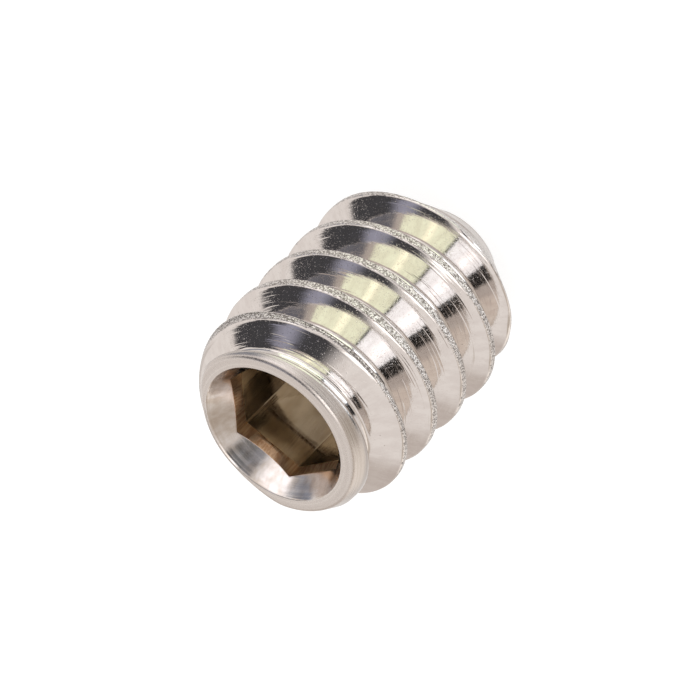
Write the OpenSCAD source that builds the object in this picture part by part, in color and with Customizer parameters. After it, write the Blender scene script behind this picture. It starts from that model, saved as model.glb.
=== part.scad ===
// Headless socket set screw: a threaded stud with a countersunk hexagon
// socket in its top end and a flat point at its bottom end.
// It stands on its point. Z is the screw's axis and points out of the socket.

/* [Thread] */
// Major diameter of the thread, over its crests
major_d = 4.65; // [4.5:0.01:5.2]
// Pitch, from one crest to the next along the axis
pitch = 1.058; // [0.95:0.002:1.12]
// Width of the flat strip along the crest
crest_flat = 0.2; // [0.14:0.01:0.26]
// Width of the flat at the bottom of the groove
root_flat = 0.14; // [0.1:0.01:0.2]
// Angle between the two flanks of the groove
flank_angle = 60; // [58:1:66]
// Turn of the whole thread about the axis, which sets where it starts
thread_turn = 95; // [0:1:359]

/* [Body] */
// Overall length, from the point to the socket end
length = 6.35; // [5:0.05:12]
// Diameter of the flat face round the socket
face_d = 3.7; // [3.3:0.02:3.9]
// Angle between the chamfer at the socket end and the axis
face_chamfer_angle = 26; // [20:1:60]
// Diameter of the flat point
point_d = 2.2; // [2:0.05:3.4]
// Angle between the chamfer at the point and the axis
point_chamfer_angle = 45; // [35:1:60]

/* [Socket] */
// Width of the hexagon across its flats
socket_af = 2.38; // [2:0.01:2.45]
// Depth of the hexagon, from the socket end to the end of its flats
socket_depth = 3.2; // [1.6:0.05:3.8]
// Mouth diameter of the countersink round the hexagon
mouth_d = 3.18; // [3.08:0.01:3.26]
// Full angle of the countersink's cone
countersink_angle = 66; // [60:1:100]
// Full angle of the drill's cone at the bottom of the socket
drill_angle = 118; // [100:1:140]

/* [Hidden] */

steps_per_turn = 72;  // facets in one turn of the thread
overrun = 0.5;        // how far the cutting shapes run past the surfaces they cut
round_fn = 96;

half_flank = flank_angle / 2;
thread_depth = (pitch - crest_flat - root_flat) / 2 / tan(half_flank);
root_r = major_d / 2 - thread_depth;

// The ridge is made sharper and taller than the finished crest: the turned
// blank then cuts its top off at the major diameter.
spare_r = 0.3 * crest_flat / 2 / tan(half_flank);
ridge_r = major_d / 2 + spare_r;
ridge_flat = crest_flat - 2 * spare_r * tan(half_flank);
flank_rise = (ridge_r - root_r) * tan(half_flank);

// One pitch of the thread's outline: [height above the turn's start, radius]
ridge = [
    [0, ridge_r],
    [ridge_flat, ridge_r],
    [ridge_flat + flank_rise, root_r],
    [ridge_flat + flank_rise + root_flat, root_r]
];
ridge_points = len(ridge);
turns = ceil(length / pitch) + 3;
steps = turns * steps_per_turn;

// Point j of the outline after i steps. The outline's end is the start of the
// one a full turn on, so the strips of neighbouring turns share their edges.
function thread_point(i, j) =
    let (
        angle = 360 * i / steps_per_turn,
        base = pitch * (i / steps_per_turn - 1.5) + ridge[j][0]
    )
    [ridge[j][1] * cos(angle), ridge[j][1] * sin(angle), base];

function grid(i, j) =
    j < ridge_points ? i * ridge_points + j : grid(i + steps_per_turn, j - ridge_points);

// A right-hand ridge wound round a core, closed by a fan of faces at each end
module thread_form() {
    rows = steps + steps_per_turn;
    points = [for (i = [0:rows]) for (j = [0:ridge_points - 1]) thread_point(i, j)];
    low_centre = [0, 0, thread_point(0, 0)[2] + pitch / 2];
    high_centre = [0, 0, thread_point(steps, 0)[2] + pitch / 2];
    low = len(points);
    high = low + 1;
    low_edge = concat(
        [for (i = [0:steps_per_turn]) grid(i, 0)],
        [for (j = [ridge_points - 1:-1:0]) grid(0, j)]
    );
    high_edge = concat(
        [for (i = [0:steps_per_turn]) grid(steps + i, 0)],
        [for (j = [ridge_points - 1:-1:0]) grid(steps, j)]
    );
    sides = [for (i = [0:steps - 1]) for (j = [0:ridge_points - 1])
        [[grid(i, j), grid(i, j + 1), grid(i + 1, j)],
         [grid(i + 1, j), grid(i, j + 1), grid(i + 1, j + 1)]]];
    polyhedron(
        points = concat(points, [low_centre, high_centre]),
        faces = concat(
            [for (pair = sides) for (face = pair) face],
            [for (k = [0:len(low_edge) - 2]) [low, low_edge[k], low_edge[k + 1]]],
            [for (k = [0:len(high_edge) - 2]) [high, high_edge[k + 1], high_edge[k]]]
        ),
        convexity = 10
    );
}

// The turned blank: a bar at the major diameter, chamfered at both ends
module blank() {
    face_chamfer = (major_d - face_d) / 2 / tan(face_chamfer_angle);
    point_chamfer = (major_d - point_d) / 2 / tan(point_chamfer_angle);
    rotate_extrude($fn = round_fn)
        polygon([
            [0, 0],
            [point_d / 2, 0],
            [major_d / 2, point_chamfer],
            [major_d / 2, length - face_chamfer],
            [face_d / 2, length],
            [0, length]
        ]);
}

// The countersunk mouth, the broached hexagon and the drill's cone below it
module socket() {
    half_cone = countersink_angle / 2;
    cone_depth = mouth_d / 2 / tan(half_cone);
    drill_depth = socket_af / 2 / tan(drill_angle / 2);
    rotate_extrude($fn = round_fn)
        polygon([
            [0, length - cone_depth],
            [mouth_d / 2 + overrun * tan(half_cone), length + overrun],
            [0, length + overrun]
        ]);
    translate([0, 0, length - socket_depth])
        cylinder(d = socket_af / cos(30), h = socket_depth + overrun, $fn = 6);
    rotate_extrude($fn = round_fn)
        polygon([
            [0, length - socket_depth - drill_depth],
            [socket_af / 2, length - socket_depth],
            [0, length - socket_depth]
        ]);
}

module set_screw() {
    color([0.76, 0.75, 0.73])
        difference() {
            intersection() {
                blank();
                rotate([0, 0, thread_turn]) thread_form();
            }
            socket();
        }
}

set_screw();
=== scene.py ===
"""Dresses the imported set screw: a smooth surface of the same form, its steel finishes, and a small studio."""

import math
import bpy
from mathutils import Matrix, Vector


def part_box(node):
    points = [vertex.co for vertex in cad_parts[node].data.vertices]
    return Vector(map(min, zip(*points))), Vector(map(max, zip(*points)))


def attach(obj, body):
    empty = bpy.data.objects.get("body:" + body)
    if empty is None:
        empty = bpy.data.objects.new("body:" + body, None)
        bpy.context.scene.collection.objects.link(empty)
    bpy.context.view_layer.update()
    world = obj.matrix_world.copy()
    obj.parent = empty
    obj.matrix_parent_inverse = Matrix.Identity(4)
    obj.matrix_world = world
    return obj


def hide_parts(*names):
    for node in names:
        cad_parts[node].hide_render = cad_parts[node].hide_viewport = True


bl_info = {
    "name": "Socket Set Screw",
    "version": (1, 0, 0),
    "blender": (4, 5, 0),
    "location": "View3D > Sidebar > Set Screw",
    "description": "Builds a stainless socket set screw with its thread, socket and studio",
    "category": "Add Mesh",
}

import bpy
import numpy as np
from bpy.props import FloatProperty, FloatVectorProperty, PointerProperty
from mathutils import Matrix, Vector

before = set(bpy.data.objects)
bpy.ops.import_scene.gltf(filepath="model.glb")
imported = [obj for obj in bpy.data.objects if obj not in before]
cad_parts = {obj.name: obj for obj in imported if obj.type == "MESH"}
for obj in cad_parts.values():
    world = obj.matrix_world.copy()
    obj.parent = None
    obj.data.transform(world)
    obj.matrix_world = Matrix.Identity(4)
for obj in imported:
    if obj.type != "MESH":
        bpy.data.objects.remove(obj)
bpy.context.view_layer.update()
NODE_LOW, NODE_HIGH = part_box("set_screw")

MM = 0.001
TAU = 2 * math.pi
LENGTH = NODE_HIGH[2] - NODE_LOW[2]
MAJOR_R = (NODE_HIGH[0] - NODE_LOW[0]) / 2


# ---------------------------------------------------------------- properties


def srgb(text):
    """An sRGB hex colour as linear RGBA."""
    parts = [int(text[k : k + 2], 16) / 255 for k in (1, 3, 5)]
    return tuple(p / 12.92 if p <= 0.04045 else ((p + 0.055) / 1.055) ** 2.4 for p in parts) + (1.0,)


def size(name, text, mm):
    """A length, given in millimetres and kept in metres."""
    return FloatProperty(name=name, description=text, default=mm * MM, min=0.0, precision=6, unit="LENGTH")


def turn(name, text, value):
    """An angle, kept in radians and shown in degrees."""
    return FloatProperty(
        name=name, description=text, default=math.radians(value), subtype="ANGLE", unit="ROTATION"
    )


def colour(name, text, value):
    """A colour, given as sRGB hex and kept as linear RGBA."""
    return FloatVectorProperty(
        name=name, description=text, default=srgb(value), size=4, min=0.0, max=1.0, subtype="COLOR"
    )


class SetScrewSizes(bpy.types.PropertyGroup):
    """Sizes of the screw."""

    pitch: size("Pitch", "From one crest to the next", 1.058)
    crest_low: size("Crest flat at the point", "Width of the strip along the crest near the point", 0.13)
    crest_high: size("Crest flat at the socket", "Width of the strip along the crest near the socket", 0.21)
    root_flat: size("Root flat", "Width of the bottom of the groove", 0.17)
    flank_angle: turn("Flank angle", "Between the two flanks of the groove", 60)
    thread_turn: turn("Thread turn", "Which way the thread starts", 95)
    face_r: size("Face radius", "Outer radius of the face at the socket end", 1.85)
    face_chamfer: turn("Face chamfer", "Between the chamfer at the socket end and the axis", 26)
    point_r: size("Point radius", "Radius of the flat point", 1.1)
    point_chamfer: turn("Point chamfer", "Between the chamfer at the point and the axis", 45)
    socket_af: size("Across flats", "Width of the hexagon", 2.38)
    socket_depth: size("Socket depth", "From the face to the end of the flats", 3.2)
    mouth_r: size("Mouth radius", "Radius of the countersink at the face", 1.59)
    countersink: turn("Countersink angle", "Full angle of the countersink's cone", 66)
    drill_angle: turn("Drill angle", "Full angle of the cone at the bottom", 118)


class SetScrewColours(bpy.types.PropertyGroup):
    """Colours of the bare steel, finish by finish, with painted shadow, light and glints among them, and of the
    paper it stands on.
    """

    flank_light: colour("Flank, light", "Rolled flank where it is cleanest", "#d1cac5")
    flank_dark: colour("Flank, dark", "Rolled flank where it is a little duller", "#cac2bd")
    pit: colour("Pit", "Small pits in the flanks", "#8f857c")
    # Painted glint and shade: the crest's high grains are coloured light and its hollows dark.
    crest_glint: colour("Crest, light", "High grains of the unrolled crest", "#e2dbd5")
    crest_hollow_shade: colour("Crest, dark", "Hollows of the unrolled crest", "#7f7772")
    turned_light: colour("Chamfer, light", "Ridges of the turned chamfers", "#c2bab4")
    turned_dark: colour("Chamfer, dark", "Lines of the turned chamfers", "#b4aca6")
    face_light: colour("Face, light", "Ridges of the faced ends", "#cac2bc")
    face_dark: colour("Face, dark", "Lines of the faced ends", "#bdb4ae")
    sink_light: colour("Countersink, light", "Bright parts of the countersink", "#cfc8c4")
    sink_dark: colour("Countersink, dark", "Parts of the countersink with some oil", "#beb3aa")
    wall_light: colour("Flats, light", "Flats of the socket where the oil film is thin", "#d6cdbf")
    wall_dark: colour("Flats, dark", "Flats of the socket where the oil film is thick", "#bdb1a1")
    lead_light: colour("Lead-in, light", "Ridges of the broach's lead-in", "#f0d6b8")
    lead_dark: colour("Lead-in, dark", "Lines of the broach's lead-in", "#cfa985")
    # The chips' dark brown is partly their own and partly a painted shadow where the flats meet the bottom.
    chips_and_shadow: colour("Chips", "Torn edge at the end of the flats", "#54391f")
    # Painted light: the bottom is a pale cream, brighter than bare steel, for light falling in through the
    # mouth.
    drilled_and_lit: colour("Drilled bottom", "Dull cone under the flats", "#efe3cf")
    paper: colour("Paper", "What the screw stands on", "#959595")


# ------------------------------------------------------------------ geometry

COLUMNS = 360  # round the screw: one every 0.04 mm at the crest
CREST_BLEND = 0.045 * MM  # radial size of the round along each edge of the crest
ROOT_BLEND = 0.06 * MM
CHAMFER_BLEND = 0.035 * MM
LEAD_BLEND = 0.055 * MM  # added to the crest's round where the thread runs out
# Where the thread runs out, in millimetres: depths of a crest below the face, and at each of them how
# far it falls short of the full thread, then in the same way how much its strip lacks on either side.
LEAD = ((0.24, 0.40, 0.73, 0.83), (0.33, 0.17, 0.1, 0))
PINCH = ((0.24, 0.45, 0.83, 1.2, 1.5), (0, 0.05, 0.06, 0.03, 0))
CREST_START = 0.5661  # of a pitch: where the first crest stands at the thread's own start
RIM_ROUND = 0.12 * MM  # the outer edge of the face
POINT_ROUND = 0.03 * MM
SOCKET_LIP = 1.264 * MM, 1.355 * MM  # radius where the countersink meets the flats: flat's middle, corner
CREASE_DEPTH = 0.707 * MM, 0.056 * MM  # lower edge of the broach's lead-in, and how much deeper at a corner
LEAST_ROOT = 0.6  # of the width across flats: the groove never comes nearer to the axis than this
CORE = 0.97  # the drilled hole's radius, as a share of the distance from the axis to a flat
TORN_HEIGHT = 0.02 * MM  # of the ragged end of the flats
TORN_WAVES, TORN_SEED = (5, 11, 23, 37), 3  # its waves round the socket, and the seed of their phases
# Along the socket's path: how far each corner is rounded, in millimetres, and the rings on each stretch.
PATH_ROUNDS = (0.012, 0.012, 0.03, 0.02, 0.015)
PATH_RINGS = (3, 12, 5, 8, 2, 8)
THREAD, FACE, COUNTERSINK, SOCKET = range(4)  # the finishes, in the order of the material slots


def smooth_min(a, b, width):
    """The smaller of a and b, blended by a parabola where they differ by less than width."""
    h = np.clip(0.5 + 0.5 * (b - a) / width, 0, 1)
    return b + (a - b) * h - width * h * (1 - h)


def smooth_max(a, b, width):
    """The larger of a and b, blended in the same way."""
    return -smooth_min(-a, -b, width)


class Thread:
    """The outer surface as a radius over the angle and the height."""

    def __init__(self, s):
        """Works out the flanks' slope and the radius at the bottom of the groove."""
        self.s = s
        self.slope = math.tan(s.flank_angle / 2)
        mean_flat = (s.crest_low + s.crest_high) / 2
        self.root_r = MAJOR_R - (s.pitch - mean_flat - s.root_flat) / 2 / self.slope
        self.root_r = max(self.root_r, s.socket_af * LEAST_ROOT)

    def crest_half(self, crest):
        """Half the width of the crest's strip, for a crest at that height: it widens evenly towards
        the socket, less what the run-out takes away."""
        share = np.clip(crest / LENGTH, 0, 1)
        full = (self.s.crest_low + (self.s.crest_high - self.s.crest_low) * share) / 2
        return full - MM * np.interp((LENGTH - crest) / MM, *PINCH)

    def drop(self, crest):
        """How far the crest falls short near the socket, where rolling does not fill it out."""
        return MM * np.interp((LENGTH - crest) / MM, *LEAD)

    def ridge(self, off, crest):
        """Radius at an axial distance off a crest's middle: a flat crest, straight flanks and a flat
        root, each edge blended."""
        drop = self.drop(crest)
        flank = MAJOR_R + (self.crest_half(crest) - np.abs(off)) / self.slope
        ridge = smooth_min(flank, MAJOR_R - drop, CREST_BLEND + LEAD_BLEND * np.clip(drop / MM, 0, 0.1) / 0.1)
        return smooth_max(ridge, self.root_r, ROOT_BLEND)

    def chamfers(self, height):
        """Radius of the cone at either end: straight lines over the height."""
        s = self.s
        face = s.face_r + (LENGTH - height) * math.tan(s.face_chamfer)
        point = s.point_r + height * math.tan(s.point_chamfer)
        return smooth_min(face, point, CHAMFER_BLEND)

    def rise(self, crest):
        """Axial places from a crest's middle to the middle of the groove, close together where the
        outline turns. One row for each place."""
        half = self.crest_half(crest)
        foot = half + (MAJOR_R - self.root_r) * self.slope
        turn_by = CREST_BLEND * self.slope
        bend_by = ROOT_BLEND * self.slope
        rows = [0 * half, 0.55 * half] + [half + turn_by * k for k in (-1, -0.35, 0.35, 1)]
        start, end = half + turn_by, foot - bend_by
        rows += [start + (end - start) * t for t in np.linspace(0, 1, 9)[1:-1]]
        rows += [foot + bend_by * k for k in (-1, -0.3, 0.4)]
        return np.stack(rows + [0 * half + self.s.pitch / 2])


def hexagon_r(angle, flat_r):
    """Distance from the centre to a hexagon's side: the flat's distance over the cosine of the
    angle from the flat's middle. Corners lie at 0, 60, 120 degrees and so on."""
    sixth = math.pi / 3
    return flat_r / np.cos((angle % sixth) - sixth / 2)


def outer_grid(s):
    """Rows that follow the thread up the screw: a crest climbs by one pitch a turn. Gives the angles
    and the thread, then for every row over the angle its height, the height of its own crest's
    middle and the distance from there, and last the number of rows to a turn."""
    thread = Thread(s)
    angle = np.arange(COLUMNS) * TAU / COLUMNS
    turns = int(math.ceil(LENGTH / s.pitch)) + 3
    base = s.pitch * (CREST_START - s.thread_turn / TAU)
    climb = s.pitch * angle / TAU
    heights, crests, offs = [], [], []
    for k in range(-2, turns - 2):
        crest = base + s.pitch * k + climb
        up = thread.rise(crest)
        down = thread.rise(crest + s.pitch)[::-1][1:-1]
        heights += [crest + up, crest + s.pitch - down]
        crests += [np.broadcast_to(crest, up.shape), np.broadcast_to(crest + s.pitch, down.shape)]
        offs += [up, -down]
    per_turn = len(up) + len(down)
    return angle, thread, np.concatenate(heights), np.concatenate(crests), np.concatenate(offs), per_turn


def bend(before, at, after, reach):
    """Rounds a corner of the path: a point a little before it, one just inside it and one a
    little after it."""
    pull = []
    for other in (before, after):
        step = (other[0] - at[0], other[1] - at[1])
        far = np.hypot(*step)
        pull.append((at[0] + step[0] / far * reach, at[1] + step[1] / far * reach))
    middle = tuple(0.5 * at[k] + 0.25 * (pull[0][k] + pull[1][k]) for k in (0, 1))
    return [pull[0], middle, pull[1]]


def run(start, end, count):
    """Points evenly spaced between two points of the path, the ends left out."""
    shares = np.linspace(0, 1, count + 2)[1:-1]
    return [tuple(start[k] + (end[k] - start[k]) * t for k in (0, 1)) for t in shares]


def ripple(angle, waves, seed):
    """A ragged line round the screw: a sum of sines with whole numbers of waves and set phases."""
    phase = np.random.default_rng(seed).uniform(0, TAU, len(waves))
    total = sum(np.sin(n * angle + p) / math.sqrt(n) for n, p in zip(waves, phase))
    return total / sum(1 / math.sqrt(n) for n in waves)


def socket_path(angle, s, rim):
    """The path from the rim over the face, down the countersink and the hexagon to the drill's
    cone, as rings of (radius, height) over the angle, and the finish of the band below each."""
    ones = np.ones_like(angle)
    flat_r = s.socket_af / 2
    hexagon = hexagon_r(angle, flat_r)
    bulge = (hexagon - flat_r) / (flat_r / math.cos(math.pi / 6) - flat_r)
    lip = SOCKET_LIP[0] + (SOCKET_LIP[1] - SOCKET_LIP[0]) * bulge
    floor_z = LENGTH - s.socket_depth + TORN_HEIGHT * ripple(angle, TORN_WAVES, TORN_SEED)
    core = CORE * flat_r * ones
    knots = [
        rim,
        (s.mouth_r * ones, LENGTH * ones),
        (lip, LENGTH - (s.mouth_r - lip) / math.tan(s.countersink / 2)),
        (hexagon, LENGTH - CREASE_DEPTH[0] + CREASE_DEPTH[1] * bulge),
        (hexagon, floor_z),
        (core, floor_z),
        (0 * ones, LENGTH - s.socket_depth - core / math.tan(s.drill_angle / 2)),
    ]
    reach = [k * MM for k in PATH_ROUNDS]
    count = PATH_RINGS
    finish = [FACE, COUNTERSINK, SOCKET, SOCKET, SOCKET, SOCKET]
    rings, kinds, last = [], [], rim
    for k in range(5):
        three = bend(knots[k], knots[k + 1], knots[k + 2], reach[k])
        rings += run(last, three[0], count[k]) + three
        kinds += [finish[k]] * (count[k] + 2) + [finish[k + 1]]
        last = three[2]
    rings += run(last, knots[6], count[5])
    kinds += [finish[5]] * (count[5] + 1)
    return rings, kinds, float(knots[6][1][0])


def screw_arrays(s):
    """The whole screw as one closed skin: points, triangles, corner UVs, the finish of each
    triangle, and for each point the distance beyond the crest's edge and the chamfer's cut."""
    angle, thread, height, crest, off, per_turn = outer_grid(s)
    low, high = POINT_ROUND, LENGTH - RIM_ROUND * (1 - math.sin(s.face_chamfer))
    inside = np.clip(height, low, high)
    off_in = np.abs(off + inside - height)
    ridge = thread.ridge(off_in, crest)
    cone = thread.chamfers(inside)
    radius = smooth_min(ridge, cone, CHAMFER_BLEND)
    past = off_in - thread.crest_half(crest)
    cut = ridge - cone
    rows = len(height)
    first = (height <= low).sum(0) - 1
    last = rows - (height >= high).sum(0)
    column = np.arange(COLUMNS)
    number = np.clip(np.arange(rows)[:, None], first, last) * COLUMNS + column

    along = np.arange(rows - 1)
    row = np.concatenate([np.repeat(along, COLUMNS - 1), along[: rows - 1 - per_turn]])
    col = np.concatenate([np.tile(column[:-1], rows - 1), np.full(rows - 1 - per_turn, COLUMNS - 1)])
    over = np.where(col == COLUMNS - 1, row + per_turn, row)
    nxt = (col + 1) % COLUMNS
    quads = [np.stack([number[row, col], number[over, nxt], number[over + 1, nxt], number[row + 1, col]], -1)]
    step = TAU * MAJOR_R / COLUMNS / MM
    place = (row // per_turn * COLUMNS + col) * step
    low_v, high_v = off[row, col] / MM, off[row + 1, col] / MM
    low_v = np.where((low_v > 0) & (high_v < 0), low_v - s.pitch / MM, low_v)
    corners = [(place, low_v), (place + step, low_v), (place + step, high_v), (place, high_v)]
    uvs = [np.stack([np.stack(c, -1) for c in corners], 1)]
    kinds = [np.full(len(row), THREAD)]
    points = [np.stack([radius * np.cos(angle), radius * np.sin(angle), inside], -1).reshape(-1, 3)]
    count = rows * COLUMNS

    def cap(edge, rings, finishes, pole):
        """Joins rings of (radius, height) to an edge of the outer surface and closes them at a pole."""
        nonlocal count
        line = edge
        for (r, z), kind in zip(rings, finishes):
            here = count + column
            points.append(np.stack([r * np.cos(angle), r * np.sin(angle), z + 0 * angle], -1))
            count += COLUMNS
            quads.append(np.stack([line, np.roll(line, -1), np.roll(here, -1), here], -1))
            kinds.append(np.full(COLUMNS, kind))
            line = here
        points.append(np.array([[0.0, 0.0, pole]]))
        tip = np.full(COLUMNS, count)
        quads.append(np.stack([line, np.roll(line, -1), tip, tip], -1))
        kinds.append(np.full(COLUMNS, finishes[-1]))
        count += 1

    top = number[last, column]
    edge_r = radius[last, column]
    start = s.face_chamfer
    arcs = [start + (math.pi / 2 - start) * t for t in (0.2, 0.4, 0.6, 0.8, 1)]
    rim = [
        (
            edge_r - RIM_ROUND * (math.cos(start) - math.cos(a)),
            LENGTH - RIM_ROUND * (1 - math.sin(a)) + 0 * angle,
        )
        for a in arcs
    ]
    rings, finishes, pole = socket_path(angle, s, rim[-1])
    cap(top, rim + rings, [FACE] * len(rim) + finishes, pole)
    arcs = [math.radians(90 * t) for t in (1 / 3, 2 / 3, 1)]
    start = len(quads)
    edge_r = radius[np.maximum(first, 0), column]
    rim = [
        (edge_r - POINT_ROUND * (1 - math.cos(a)), low - POINT_ROUND * math.sin(a) + 0 * angle)
        for a in arcs
    ]
    rim += [(rim[-1][0] * t, 0 * angle) for t in (0.8, 0.6, 0.4, 0.2)]
    cap(number[np.maximum(first, 0), column], rim, [FACE] * len(rim), 0.0)
    for k in range(start, len(quads)):
        quads[k] = quads[k][:, ::-1]
    quad = np.concatenate(quads)
    uv = np.concatenate(uvs + [np.zeros((len(quad) - len(uvs[0]), 4, 2))])
    kind = np.concatenate(kinds)
    tri = np.concatenate([quad[:, [0, 1, 2]], quad[:, [0, 2, 3]]])
    uv = np.concatenate([uv[:, [0, 1, 2]], uv[:, [0, 2, 3]]])
    kind = np.concatenate([kind, kind])
    good = (tri[:, 0] != tri[:, 1]) & (tri[:, 1] != tri[:, 2]) & (tri[:, 0] != tri[:, 2])
    spare = count - rows * COLUMNS
    past = np.concatenate([past.reshape(-1), np.full(spare, MM)])
    cut = np.concatenate([cut.reshape(-1), np.full(spare, MM)])
    return np.concatenate(points), tri[good], uv[good], kind[good], past, cut


def make_mesh(name, xyz, tri, uv, kind, past, cut):
    """Puts the arrays into a smooth mesh, dropping points that no triangle uses."""
    used, inverse = np.unique(tri, return_inverse=True)
    tri = inverse.reshape(tri.shape)
    mesh = bpy.data.meshes.new(name)
    mesh.vertices.add(len(used))
    mesh.vertices.foreach_set("co", xyz[used].astype(np.float32).ravel())
    mesh.loops.add(tri.size)
    mesh.loops.foreach_set("vertex_index", tri.astype(np.int32).ravel())
    mesh.polygons.add(len(tri))
    mesh.polygons.foreach_set("loop_start", np.arange(0, tri.size, 3, dtype=np.int32))
    mesh.polygons.foreach_set("loop_total", np.full(len(tri), 3, dtype=np.int32))
    mesh.polygons.foreach_set("material_index", kind.astype(np.int32))
    mesh.polygons.foreach_set("use_smooth", np.ones(len(tri), dtype=bool))
    mesh.uv_layers.new(name="thread").data.foreach_set("uv", uv.astype(np.float32).ravel())
    for label, values in (("past_edge", past), ("cut", cut)):
        layer = mesh.attributes.new(label, "FLOAT", "POINT")
        layer.data.foreach_set("value", (values[used] / MM).astype(np.float32))
    mesh.update()
    return mesh


# ----------------------------------------------------------------- materials

# Patterns are given in grains a millimetre. The finest are the fine scores of the rolling dies, 0.025 mm
# apart: real ones are finer still, and are drawn that coarse so that they show.
COLLAR = 0.62, 0.55  # depth below the face, in millimetres, where the turned chamfer fades out and in
POINT_CONE = 0.75, 0.6  # height above the point of the same on the other chamfer
LEAD_IN = 0.75, 0.72  # depth below the face where the lead-in's copper tint fades out and in
CHIPS_SHADOW_EDGE = -0.03, 0.0  # distance past the end of the flats over which the torn chips and their painted shadow begin
LIT_BOTTOM_EDGE = 0.04, 0.06  # and over which they give way to the drilled bottom, painted pale as if lit through the mouth
# Heights of the patterns in the relief, in thousandths of a millimetre.
STREAK_HIGH, WAVE_HIGH, SCORE_HIGH, SPECK_HIGH, PIT_HIGH = 0.9, 2.0, 3.2, 0.7, -2.0
SCRATCH_HIGH, GRIT_HIGH = 6.0, 16.0
TURNED_HIGH, TURNED_GRIT_HIGH, FACED_HIGH, SUNK_HIGH, OIL_HIGH = 1.6, 2.0, 1.2, 1.5, 2.0
DRAG_HIGH, CHIPS_HIGH = 1.3, 8.0
LEAD_IN_ROUGH, CHIPS_ROUGH = 0.33, 0.5


def add(tree, kind, inputs=None, **settings):
    """Adds a node, sets its properties, and fills its inputs with values, sockets or other nodes."""
    node = tree.nodes.new(kind)
    for key, value in settings.items():
        setattr(node, key, value)
    for key, value in (inputs or {}).items():
        if isinstance(value, bpy.types.Node):
            value = value.outputs[0]
        if isinstance(value, bpy.types.NodeSocket):
            tree.links.new(value, node.inputs[key])
        else:
            node.inputs[key].default_value = value
    return node


def maths(tree, operation, *values):
    """A Math node on one, two or three values."""
    return add(tree, "ShaderNodeMath", dict(enumerate(values)), operation=operation)


def fade(tree, value, start, end, low=0.0, high=1.0):
    """A smooth step of a value, from low at start to high at end."""
    sockets = {0: value, 1: start, 2: end, 3: low, 4: high}
    return add(tree, "ShaderNodeMapRange", sockets, interpolation_type="SMOOTHSTEP")


def grain(tree, place, per_mm, detail=2.0, rough=0.5):
    """Noise with its own number of grains a millimetre along each axis. Place is in millimetres."""
    stretched = add(tree, "ShaderNodeMapping", {0: place, 3: per_mm})
    inputs = {"Vector": stretched, "Scale": 1.0, "Detail": detail, "Roughness": rough}
    return add(tree, "ShaderNodeTexNoise", inputs)


def blend(tree, share, low, high):
    """Low where share is 0 and high where it is 1, for numbers."""
    return add(tree, "ShaderNodeMix", {0: share, 2: low, 3: high})


def tint(tree, share, low, high):
    """The same for colours."""
    node = add(tree, "ShaderNodeMix", {0: share, 6: low, 7: high}, data_type="RGBA")
    return node.outputs[2]


def steel(name):
    """A bare metal material: its tree, its shader and the place in millimetres from the origin."""
    material = bpy.data.materials.new(name)
    material.use_nodes = True
    tree = material.node_tree
    shader = tree.nodes["Principled BSDF"]
    shader.inputs["Metallic"].default_value = 1.0
    where = add(tree, "ShaderNodeTexCoord")
    place = add(tree, "ShaderNodeVectorMath", {0: where.outputs["Object"], 3: 1 / MM}, operation="SCALE")
    return material, tree, shader, place


def emboss(tree, shader, height):
    """Gives the shader a relief from a height in thousandths of a millimetre."""
    bump = add(tree, "ShaderNodeBump", {"Strength": 1.0, "Distance": 0.001 * MM, "Height": height})
    tree.links.new(bump.outputs[0], shader.inputs["Normal"])


def rings(tree, place, per_mm):
    """Fine lines round the axis, as a turning tool leaves: noise over the radius and the height."""
    flat = add(tree, "ShaderNodeVectorMath", {0: place, 1: (1, 1, 0)}, operation="MULTIPLY")
    radius = add(tree, "ShaderNodeVectorMath", {0: flat}, operation="LENGTH")
    height = add(tree, "ShaderNodeSeparateXYZ", {0: place})
    line = add(tree, "ShaderNodeCombineXYZ", {0: radius.outputs["Value"], 1: height.outputs[2]})
    return grain(tree, line, (per_mm, per_mm, 1), 3.0, 0.6)


def lines_tint(tree, share, dark, light):
    """A colour between a finish's dark and light ones, by a pattern between 0 and 1."""
    return tint(tree, fade(tree, share, 0.35, 0.65), tuple(dark), tuple(light))


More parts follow.
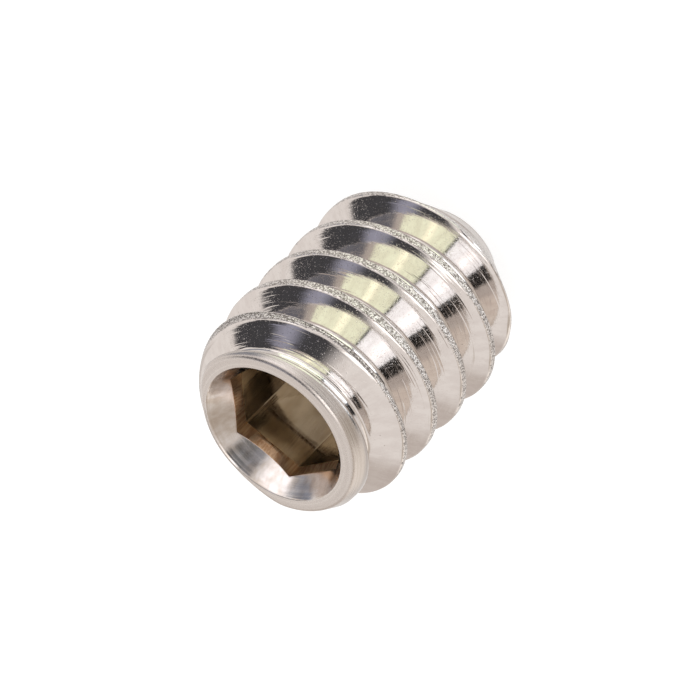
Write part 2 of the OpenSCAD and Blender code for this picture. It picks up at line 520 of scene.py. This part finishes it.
def rolled_thread(colours):
    """Stainless steel, thread-rolled and left bare. The dies leave the flanks bright, so they mirror
    the room, with scores along the helix, specks and a few pits. They hardly touch the crest, which
    stays grainy with a ragged edge; its glitter is painted, the high grains a painted glint and the
    hollows painted shade. The chamfers were turned before rolling and keep fine lines round the axis
    and a satin gloss."""
    material, tree, shader, place = steel("rolled_stainless")
    uv = add(tree, "ShaderNodeUVMap", uv_map="thread")
    past = add(tree, "ShaderNodeAttribute", attribute_name="past_edge").outputs["Fac"]
    cut = add(tree, "ShaderNodeAttribute", attribute_name="cut").outputs["Fac"]

    # The crest's edge: torn metal about 0.07 mm long, and a slow drift over a millimetre.
    torn = grain(tree, uv, (14, 6, 1), 3.0, 0.65)
    drift = grain(tree, uv, (0.8, 0.5, 1), 1.0)
    edge = maths(tree, "MULTIPLY_ADD", torn, 0.09, maths(tree, "MULTIPLY_ADD", drift, 0.05, past))
    crest = fade(tree, edge, 0.066, 0.05)
    worn = fade(tree, maths(tree, "MULTIPLY_ADD", torn, 0.05, cut), 0.035, 0.055)
    crest = maths(tree, "MAXIMUM", crest, worn)
    chamfered = fade(tree, maths(tree, "MULTIPLY_ADD", torn, 0.02, cut), -0.05, -0.03)
    up = add(tree, "ShaderNodeSeparateXYZ", {0: place}).outputs[2]
    collar = fade(tree, up, LENGTH / MM - COLLAR[0], LENGTH / MM - COLLAR[1])
    point = fade(tree, up, *POINT_CONE)
    turned = maths(tree, "MULTIPLY", chamfered, maths(tree, "ADD", collar, point))

    # The flanks: scores 2 to 3 mm long down the helix, specks of 0.03 mm and pits of 0.07 mm.
    streak = grain(tree, uv, (0.4, 42, 1), 3.0, 0.6)
    scored = fade(tree, grain(tree, uv, (0.35, 0.9, 1), 1.0), 0.4, 0.6)
    score = fade(tree, grain(tree, uv, (0.3, 13, 1), 2.0, 0.5), 0.5, 0.6)
    mottle = grain(tree, uv, (5, 5, 1), 3.0, 0.6)
    wave = grain(tree, uv, (1.5, 3, 1), 1.0)
    speck = fade(tree, grain(tree, place, (36, 36, 36), 1.0, 0.5), 0.62, 0.76)
    pit = fade(tree, grain(tree, place, (15, 15, 15), 2.0, 0.6), 0.73, 0.79)
    # The crest: grains of 0.04 mm and slanted scratches. The chamfers: lines 0.04 mm apart.
    grit = grain(tree, place, (24, 24, 24), 4.0, 0.75)
    slanted = add(tree, "ShaderNodeMapping", {0: uv, 2: (0, 0, math.radians(38))})
    scratch = grain(tree, slanted, (5, 28, 1), 2.0, 0.6)
    lines = rings(tree, place, 26)

    rolled = maths(tree, "MULTIPLY_ADD", streak, STREAK_HIGH, maths(tree, "MULTIPLY", wave, WAVE_HIGH))
    rolled = maths(tree, "MULTIPLY_ADD", maths(tree, "MULTIPLY", score, scored), SCORE_HIGH, rolled)
    rolled = maths(tree, "MULTIPLY_ADD", speck, SPECK_HIGH, rolled)
    rolled = maths(tree, "MULTIPLY_ADD", pit, PIT_HIGH, rolled)
    grainy = maths(tree, "MULTIPLY_ADD", scratch, SCRATCH_HIGH, maths(tree, "MULTIPLY", grit, GRIT_HIGH))
    satin = maths(tree, "MULTIPLY", grit, TURNED_GRIT_HIGH)
    satin = maths(tree, "MULTIPLY_ADD", lines, TURNED_HIGH, satin)
    emboss(tree, shader, blend(tree, turned, blend(tree, crest, rolled, grainy), satin))

    rough = maths(tree, "MULTIPLY_ADD", pit, 0.25, fade(tree, streak, 0.35, 0.75, 0.06, 0.12))
    rough = blend(tree, crest, rough, fade(tree, grit, 0.35, 0.65, 0.34, 0.12))
    rough = blend(tree, turned, rough, fade(tree, lines, 0.3, 0.7, 0.2, 0.3))
    tree.links.new(rough.outputs[0], shader.inputs["Roughness"])

    base = lines_tint(tree, mottle, colours.flank_dark, colours.flank_light)
    base = tint(tree, pit, base, tuple(colours.pit))
    # Painted glitter: the high grains lighter as a glint, the hollows darker as shade.
    painted_glitter = tint(tree, fade(tree, grit, 0.42, 0.58), tuple(colours.crest_hollow_shade), tuple(colours.crest_glint))
    base = tint(tree, crest, base, painted_glitter)
    base = tint(tree, turned, base, lines_tint(tree, lines, colours.turned_dark, colours.turned_light))
    tree.links.new(base, shader.inputs["Base Color"])
    return material


def turned_face(colours):
    """The same steel, faced on a lathe: fine circles round the axis, 0.045 mm apart, and a satin
    gloss, which spreads what it reflects into one even tone."""
    material, tree, shader, place = steel("turned_stainless")
    lines = rings(tree, place, 22)
    dust = grain(tree, place, (24, 24, 24), 3.0, 0.7)
    emboss(tree, shader, maths(tree, "MULTIPLY_ADD", lines, FACED_HIGH, dust))
    tree.links.new(fade(tree, dust, 0.3, 0.7, 0.22, 0.36).outputs[0], shader.inputs["Roughness"])
    base = lines_tint(tree, lines, colours.face_dark, colours.face_light)
    tree.links.new(base, shader.inputs["Base Color"])
    return material


def countersunk_mouth(colours):
    """The same steel, countersunk: the cutter's circles, 0.07 mm apart, on a bright cone that
    mirrors the room with a slight blur."""
    material, tree, shader, place = steel("countersunk_stainless")
    lines = rings(tree, place, 14)
    across = grain(tree, place, (5, 5, 1), 2.0)
    oily = maths(tree, "MULTIPLY", across, OIL_HIGH)
    emboss(tree, shader, maths(tree, "MULTIPLY_ADD", lines, SUNK_HIGH, oily))
    tree.links.new(fade(tree, lines, 0.3, 0.7, 0.12, 0.24).outputs[0], shader.inputs["Roughness"])
    base = lines_tint(tree, across, colours.sink_dark, colours.sink_light)
    tree.links.new(base, shader.inputs["Base Color"])
    return material


def broached_socket(colours, socket_depth):
    """The same steel, broached: bright flats with lines down them, 0.05 mm apart, which mirror one
    another, so that a thin film of oil adds up to brown. The short lead-in under the countersink is
    duller and tinted a lighter copper. The flats end in torn chips, their dark colour also a painted
    shadow at that shoulder, over the dull, drilled bottom, whose pale cream is painted light falling
    in through the mouth."""
    material, tree, shader, place = steel("broached_stainless")
    drag = grain(tree, place, (20, 20, 0.8), 3.0, 0.6)
    film = grain(tree, place, (2.5, 2.5, 1.2), 2.0)
    dust = grain(tree, place, (18, 18, 18), 3.0, 0.7)
    up = add(tree, "ShaderNodeSeparateXYZ", {0: place}).outputs[2]
    depth = maths(tree, "SUBTRACT", LENGTH / MM, up)
    ragged = maths(tree, "MULTIPLY_ADD", dust, 0.12, maths(tree, "SUBTRACT", depth, socket_depth / MM))
    lead_in = fade(tree, depth, *LEAD_IN)
    torn = fade(tree, ragged, *CHIPS_SHADOW_EDGE)
    bottom = fade(tree, ragged, *LIT_BOTTOM_EDGE)
    fine = maths(tree, "MULTIPLY", drag, DRAG_HIGH)
    coarse = maths(tree, "MULTIPLY", dust, CHIPS_HIGH)
    emboss(tree, shader, blend(tree, torn, fine, coarse))
    rough = blend(tree, lead_in, fade(tree, drag, 0.3, 0.7, 0.03, 0.09), LEAD_IN_ROUGH)
    rough = blend(tree, torn, rough, CHIPS_ROUGH)
    tree.links.new(rough.outputs[0], shader.inputs["Roughness"])
    base = lines_tint(tree, film, colours.wall_dark, colours.wall_light)
    base = tint(tree, lead_in, base, lines_tint(tree, drag, colours.lead_dark, colours.lead_light))
    # Dark torn chips at the end of the flats, their darkness also a painted shadow at that shoulder.
    base = tint(tree, torn, base, tuple(colours.chips_and_shadow))
    # Painted light: the drilled bottom coloured pale cream as if lit through the mouth.
    base = tint(tree, bottom, base, tuple(colours.drilled_and_lit))
    tree.links.new(base, shader.inputs["Base Color"])
    return material


# -------------------------------------------------------------------- studio

# Name, azimuth and elevation of its middle, half its width and height, softness of its edge (all in
# degrees), colour and strength. Later ones stand in front.
PANELS = (
    ("right card", 102, 4, 27, 20, 16, "#fff6f0", 0.78),
    ("warm card", 182, 14, 46, 14, 12, "#f2e8dc", 0.8),
    ("left reflector", 158, -4, 30, 12, 12, "#fffaf4", 1.4),
    ("grey card", 250, 28, 18, 9, 9, "#e8ecf4", 0.19),
    ("grey edge", 273, 28, 9, 9, 8, "#e8ecf8", 0.36),
    ("white softbox", 315, 22, 21, 11, 12, "#fdfcff", 1.95),
    ("key softbox", 236, 55, 20, 19, 6, "#ffffff", 2.5),
    ("blue-grey card", 355, 4, 20, 13, 8, "#dce6fc", 0.42),
    ("black stand", 240, -20, 36, 14, 4, "#ffffff", 0.04),
    ("pink softbox", 243.5, -20, 19.5, 12, 2, "#ebf5ff", 3.05),
    ("pink lamp", 240, -22, 5, 6, 9, "#f4f8ff", 4.0),
    ("cream softbox", 296.5, -16, 30, 11, 3, "#f1ffe9", 2.4),
    ("cream lamp", 294, -17, 3, 10, 8, "#f8ffe9", 3.5),
)
TENT = "#fffcfa", 1.0, 1.12  # colour of the white tent, and its strength low down and high up
CLOTH_TURN = math.radians(18)  # which way the dark ceiling cloth runs
# Where the cloth begins and ends along that way and half its width, as slopes from the vertical,
# each with the slope at which it has faded in or out.
CLOTH_START = -0.2, 0.02
CLOTH_END = 1.34, 1.29
CLOTH_MIDDLE = -0.12
CLOTH_SIDE = 0.5, 0.3
CLOTH = "#f2f4ff", 0.09
GAP_AT, GAP_HALF = 0.42, (0.22, 0.03)  # a gap in the cloth that lets some light through
GAP = "#dfe2fb", 0.62

CARD_GLOW = 0.82  # how strongly the card is lit from within: 1 is white
FLOOR_HALF = 0.4  # half the side of the sheet, in metres
CAMERA_AIM = Vector((-0.0815, -1.3774, 4.5843)) * MM  # the point in the middle of the frame
CAMERA_TURN = math.radians(-96.58)  # azimuth and elevation of the camera from there
CAMERA_RISE = math.radians(37.9635)
CAMERA_ROLL = math.radians(-135.6627)  # round the line of sight: the screw lies on its side in the frame
CAMERA_FAR = 155 * MM
CAMERA_LENS = 407.311  # focal length in millimetres on a sensor 36 mm wide
CAMERA_CLIP = 0.001, 10


def lit(light):
    """A light's colour: linear RGB times its strength."""
    colour_of, strength = light
    return tuple(c * strength for c in srgb(colour_of)[:3]) + (1.0,)


def ceiling(tree, x, y, z, light):
    """Lays the dark cloth over a light. A direction meets the flat ceiling at its slopes from the
    vertical, x over z and y over z, turned by the cloth's own angle."""
    cos_t, sin_t = math.cos(CLOTH_TURN), math.sin(CLOTH_TURN)
    high = maths(tree, "MAXIMUM", z, 0.02)
    along = maths(tree, "MULTIPLY_ADD", x, cos_t, maths(tree, "MULTIPLY", y, sin_t))
    along = maths(tree, "DIVIDE", along, high)
    across = maths(tree, "MULTIPLY_ADD", y, cos_t, maths(tree, "MULTIPLY", x, -sin_t))
    across = maths(tree, "SUBTRACT", maths(tree, "DIVIDE", across, high), CLOTH_MIDDLE)
    cloth = maths(tree, "MULTIPLY", fade(tree, along, *CLOTH_START), fade(tree, along, *CLOTH_END))
    cloth = maths(tree, "MULTIPLY", cloth, fade(tree, maths(tree, "ABSOLUTE", across), *CLOTH_SIDE))
    aside = maths(tree, "ABSOLUTE", maths(tree, "SUBTRACT", along, GAP_AT))
    gap = maths(tree, "MULTIPLY", fade(tree, aside, *GAP_HALF), cloth)
    return tint(tree, gap, tint(tree, cloth, light, lit(CLOTH)), lit(GAP))


def panel(tree, azimuth, elevation, light, turned, up, wide, tall, soft, shine):
    """Sets one soft panel before a light: its share is full within its half width and half height,
    and fades over its softness. The angles are in degrees."""
    aside = maths(tree, "SUBTRACT", azimuth, math.radians(turned))
    aside = maths(tree, "ABSOLUTE", maths(tree, "WRAP", aside, math.pi, -math.pi))
    above = maths(tree, "ABSOLUTE", maths(tree, "SUBTRACT", elevation, math.radians(up)))
    within = [
        fade(tree, off, math.radians(half + soft / 2), math.radians(half - soft / 2))
        for off, half in ((aside, wide), (above, tall))
    ]
    return tint(tree, maths(tree, "MULTIPLY", *within), light, lit(shine))


def backdrop(world):
    """A white tent with a dark cloth over part of its ceiling and soft panels round the object, all
    far away: a direction's azimuth and elevation pick the panel. The camera sees plain white."""
    world.use_nodes = True
    world.cycles.sampling_method = "NONE"
    tree = world.node_tree
    way = add(tree, "ShaderNodeSeparateXYZ", {0: add(tree, "ShaderNodeTexCoord").outputs["Generated"]})
    x, y, z = way.outputs
    white, low, high = TENT
    light = tint(tree, fade(tree, z, -0.5, 0.3), lit((white, low)), lit((white, high)))
    light = ceiling(tree, x, y, z, light)
    azimuth = maths(tree, "ARCTAN2", y, x)
    elevation = maths(tree, "ARCSINE", z)
    for _name, turned, up, wide, tall, soft, tone, strength in PANELS:
        light = panel(tree, azimuth, elevation, light, turned, up, wide, tall, soft, (tone, strength))
    seen = add(tree, "ShaderNodeLightPath").outputs["Is Camera Ray"]
    light = tint(tree, seen, light, (1, 1, 1, 1))
    tree.links.new(light, tree.nodes["Background"].inputs["Color"])


def paper(colours):
    """White card stock: matt, lit from within as well, so that it stays white and still takes the
    object's soft shadow."""
    material = bpy.data.materials.new("white_card")
    material.use_nodes = True
    shader = material.node_tree.nodes["Principled BSDF"]
    shader.inputs["Base Color"].default_value = tuple(colours.paper)
    shader.inputs["Roughness"].default_value = 1.0
    shader.inputs["Specular IOR Level"].default_value = 0.0
    shader.inputs["Emission Color"].default_value = (1, 1, 1, 1)
    shader.inputs["Emission Strength"].default_value = CARD_GLOW
    return material


def camera_place():
    """The camera's matrix: back along the line of sight from the aim, then rolled round that line."""
    back = Vector((math.cos(CAMERA_TURN), math.sin(CAMERA_TURN), 0)) * math.cos(CAMERA_RISE)
    back.z = math.sin(CAMERA_RISE)
    level = Vector((-math.sin(CAMERA_TURN), math.cos(CAMERA_TURN), 0))
    right = level * math.cos(CAMERA_ROLL) + back.cross(level) * math.sin(CAMERA_ROLL)
    axes = Matrix((right, back.cross(right), back)).transposed()
    return Matrix.Translation(CAMERA_AIM + back * CAMERA_FAR) @ axes.to_4x4()


# ------------------------------------------------------------------ operators


class OBJECT_OT_add_set_screw(bpy.types.Operator):
    """Builds the screw and puts it in place of the plain solid"""

    bl_idname = "object.add_set_screw"
    bl_label = "Add Set Screw"

    def execute(self, context):
        """Makes the skin, its finishes in the order of their slots, and the object."""
        sizes = context.scene.set_screw_sizes
        colours = context.scene.set_screw_colours
        mesh = make_mesh("screw", *screw_arrays(sizes))
        mesh.materials.append(rolled_thread(colours))
        mesh.materials.append(turned_face(colours))
        mesh.materials.append(countersunk_mouth(colours))
        mesh.materials.append(broached_socket(colours, sizes.socket_depth))
        piece = bpy.data.objects.new("screw", mesh)
        context.scene.collection.objects.link(piece)
        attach(piece, "root")
        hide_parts("set_screw")
        return {"FINISHED"}


class OBJECT_OT_add_studio(bpy.types.Operator):
    """Adds the floor, the lights and the camera"""

    bl_idname = "object.add_studio"
    bl_label = "Add Studio"

    def execute(self, context):
        """Makes a long lens far away, a wide sheet of card and the tent."""
        scene = context.scene
        lens = bpy.data.cameras.new("camera")
        lens.sensor_width = 36
        lens.sensor_fit = "HORIZONTAL"
        lens.lens = CAMERA_LENS
        lens.clip_start, lens.clip_end = CAMERA_CLIP
        camera = bpy.data.objects.new("camera", lens)
        camera.matrix_world = camera_place()
        scene.collection.objects.link(camera)
        scene.camera = camera

        corners = [(x * FLOOR_HALF, y * FLOOR_HALF, 0) for x, y in ((-1, -1), (1, -1), (1, 1), (-1, 1))]
        sheet = bpy.data.meshes.new("floor")
        sheet.from_pydata(corners, [], [(0, 1, 2, 3)])
        sheet.materials.append(paper(scene.set_screw_colours))
        floor = bpy.data.objects.new("floor", sheet)
        floor.visible_glossy = False
        scene.collection.objects.link(floor)

        scene.world = bpy.data.worlds.new("studio")
        backdrop(scene.world)
        scene.view_settings.view_transform = "Standard"
        return {"FINISHED"}


class VIEW3D_PT_set_screw(bpy.types.Panel):
    """Lists the sizes, the colours and what can be added"""

    bl_label = "Set Screw"
    bl_idname = "VIEW3D_PT_set_screw"
    bl_space_type = "VIEW_3D"
    bl_region_type = "UI"
    bl_category = "Set Screw"

    def draw(self, context):
        """Draws every size and colour, then a button for each operator."""
        for group in (context.scene.set_screw_sizes, context.scene.set_screw_colours):
            for name in type(group).__annotations__:
                self.layout.prop(group, name)
        for operator in (OBJECT_OT_add_set_screw, OBJECT_OT_add_studio):
            self.layout.operator(operator.bl_idname)


CLASSES = (SetScrewSizes, SetScrewColours, OBJECT_OT_add_set_screw, OBJECT_OT_add_studio, VIEW3D_PT_set_screw)


def register():
    """Registers the classes and hangs the sizes and colours on the scene."""
    for cls in CLASSES:
        bpy.utils.register_class(cls)
    bpy.types.Scene.set_screw_sizes = PointerProperty(type=SetScrewSizes)
    bpy.types.Scene.set_screw_colours = PointerProperty(type=SetScrewColours)


def unregister():
    """Undoes what register does."""
    del bpy.types.Scene.set_screw_colours
    del bpy.types.Scene.set_screw_sizes
    for cls in reversed(CLASSES):
        bpy.utils.unregister_class(cls)


def main():
    """Builds everything."""
    register()
    bpy.ops.object.add_set_screw()
    bpy.ops.object.add_studio()


if __name__ == "__main__":
    main()
